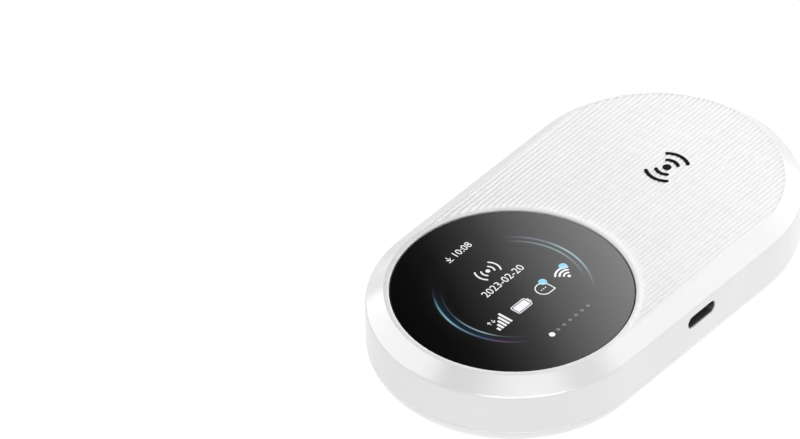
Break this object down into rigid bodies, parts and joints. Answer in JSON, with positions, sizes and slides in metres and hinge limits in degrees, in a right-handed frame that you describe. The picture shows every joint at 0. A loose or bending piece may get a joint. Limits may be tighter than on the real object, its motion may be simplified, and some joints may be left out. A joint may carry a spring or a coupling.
{
  "type": "mobile hotspot",
  "caption": "Pocket mobile Wi-Fi hotspot: flat round-ended white shell, ribbed face, round black touch display, side keys and a USB-C port.",
  "frame": {"origin": "centre of the flat bottom of the back cover, in the middle of the bounding box", "axes": "+X along the body, from the display end to the plain end; +Y towards the side with the two keys; -Y towards the charging port; +Z out of the display face"},
  "size_m": [0.1084, 0.0607, 0.0174],
  "materials": {
    "white_shell": "satin moulded white",
    "white_key": "satin moulded white",
    "black_glass": "polished, printed black on its inner face",
    "display_panel": "dark, glossy",
    "dark_plastic": "moulded black",
    "black_tape": "matt adhesive tape",
    "board_laminate": "green solder mask",
    "chip_black": "moulded epoxy",
    "foam": "soft foam",
    "battery_wrap": "film wrap",
    "flex_amber": "polyimide film",
    "card_white": "plain white",
    "steel": "stamped sheet",
    "contact_gold": "gold plated",
    "screen_light": "lit pixels, white",
    "screen_blue": "lit pixels, blue",
    "print_black": "printed black mark",
    "print_grey": "printed dark grey mark"
  },
  "bodies": {
    "back_cover": {"back_cover": "white_shell", "battery_foam": "foam"},
    "housing": {"front_housing": "white_shell", "chassis": "dark_plastic", "lens": "black_glass", "lens_adhesive": "black_tape", "lcd_panel": "display_panel", "lcd_frame": "dark_plastic", "display_plate": "steel", "lcd_flex": "flex_amber", "lcd_connector": "chip_black", "main_board": "board_laminate", "modem_shield": "steel", "wifi_shield": "steel", "power_shield": "steel", "modem_chip": "chip_black", "wifi_chip": "chip_black", "power_chip": "chip_black", "thermal_pad": "foam", "usb_shell": "steel", "usb_tongue": "dark_plastic", "key_board": "board_laminate", "menu_switch": "steel", "power_switch": "steel", "main_antenna": "contact_gold", "diversity_antenna": "contact_gold", "wifi_antenna_a": "contact_gold", "wifi_antenna_b": "contact_gold", "main_antenna_clip": "contact_gold", "diversity_antenna_clip": "contact_gold", "wifi_antenna_clip_a": "contact_gold", "wifi_antenna_clip_b": "contact_gold", "battery_pack": "battery_wrap", "battery_pull_tab": "card_white", "battery_connector": "chip_black", "battery_blade_1": "contact_gold", "battery_blade_2": "contact_gold", "battery_blade_3": "contact_gold", "battery_blade_4": "contact_gold", "sim_socket": "steel", "sim_card": "card_white", "screw_1": "steel", "screw_2": "steel", "screw_3": "steel", "screw_4": "steel", "screw_5": "steel", "screw_6": "steel"},
    "menu_key": {"menu_key": "white_key", "menu_plunger": "chip_black"},
    "power_key": {"power_key": "white_key", "power_plunger": "chip_black"}
  },
  "joints": [
    {"name": "menu_key_press", "type": "slide", "parent": "housing", "child": "menu_key", "axis": [0, -1, 0], "range_m": [0, 0.0005], "stiffness_N_per_m": 1000, "springref_m": -0.0015},
    {"name": "power_key_press", "type": "slide", "parent": "housing", "child": "power_key", "axis": [0, -1, 0], "range_m": [0, 0.0005], "stiffness_N_per_m": 1000, "springref_m": -0.0015},
    {"name": "back_cover_release", "type": "slide", "parent": "back_cover", "child": "housing", "axis": [0, 0, 1], "range_m": [0, 0.03]}
  ]
}
